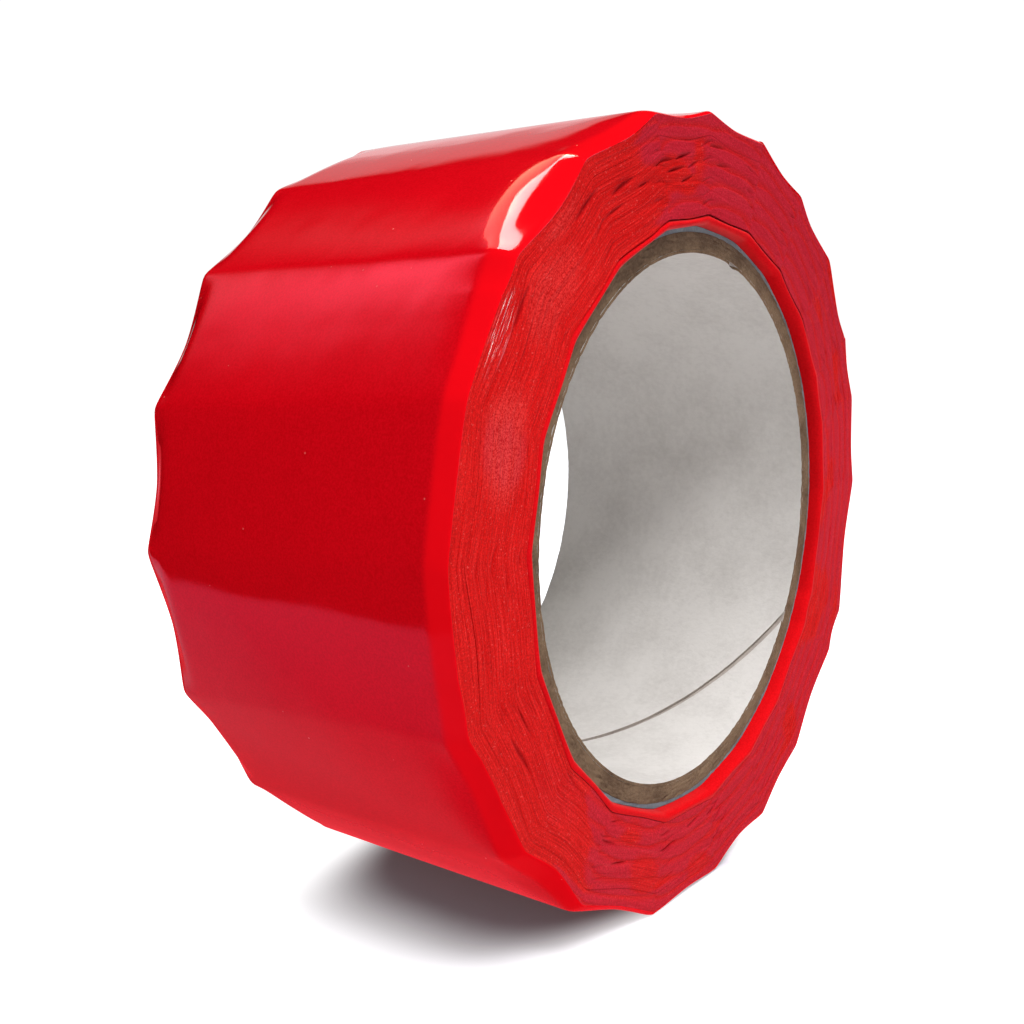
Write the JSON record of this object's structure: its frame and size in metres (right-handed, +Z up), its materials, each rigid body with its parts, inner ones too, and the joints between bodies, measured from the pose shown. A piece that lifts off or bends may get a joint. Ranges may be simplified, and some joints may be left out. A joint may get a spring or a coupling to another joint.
{
  "type": "duct tape roll",
  "caption": "Roll of glossy red adhesive tape wound on a spiral paperboard core, with a free end that peels back.",
  "frame": {"origin": "on the ground under the middle of the roll: centre of the bounding box's bottom face", "axes": "+Y along the winding axis, away from the front side face; +Z up with the roll standing on its rim; +X to the right seen from the front"},
  "size_m": [0.1148, 0.0508, 0.1121],
  "materials": {
    "tape_film": "glossy",
    "tape_edge": "satin",
    "kraft_board": "matt fibrous paperboard",
    "core_wrap_paper": "matt paper",
    "liner_paper": "matt paper"
  },
  "bodies": {
    "roll": {"core_liner_paper": "liner_paper", "core_kraft_ply_1": "kraft_board", "core_kraft_ply_2": "kraft_board", "core_kraft_ply_3": "kraft_board", "core_kraft_ply_4": "kraft_board", "core_outer_ply": "core_wrap_paper", "tape_first_wraps": "tape_edge", "tape_inner_wraps": "tape_edge", "tape_middle_wraps": "tape_edge", "tape_outer_wraps": "tape_edge", "tape_last_wraps": "tape_film"},
    "end_root": {"tape_end_root_strip": "tape_film"},
    "end_middle": {"tape_end_middle_strip": "tape_film"},
    "end_tip": {"tape_end_tip_strip": "tape_film"}
  },
  "joints": [
    {"name": "end_peel", "type": "hinge", "parent": "roll", "child": "end_root", "pos_m": [0.05132, 0, 0.0815], "axis": [0, 1, 0], "range_deg": [0, 75]},
    {"name": "end_curl_middle", "type": "hinge", "parent": "end_root", "child": "end_middle", "pos_m": [0.04353, 0, 0.09422], "axis": [0, 1, 0], "range_deg": [0, 45]},
    {"name": "end_curl_tip", "type": "hinge", "parent": "end_middle", "child": "end_tip", "pos_m": [0.03124, 0, 0.10356], "axis": [0, 1, 0], "range_deg": [0, 45]}
  ],
  "couplings": [
    {"joint": "end_curl_middle", "follows": "end_peel", "ratio": 0.6},
    {"joint": "end_curl_tip", "follows": "end_peel", "ratio": 0.6}
  ]
}
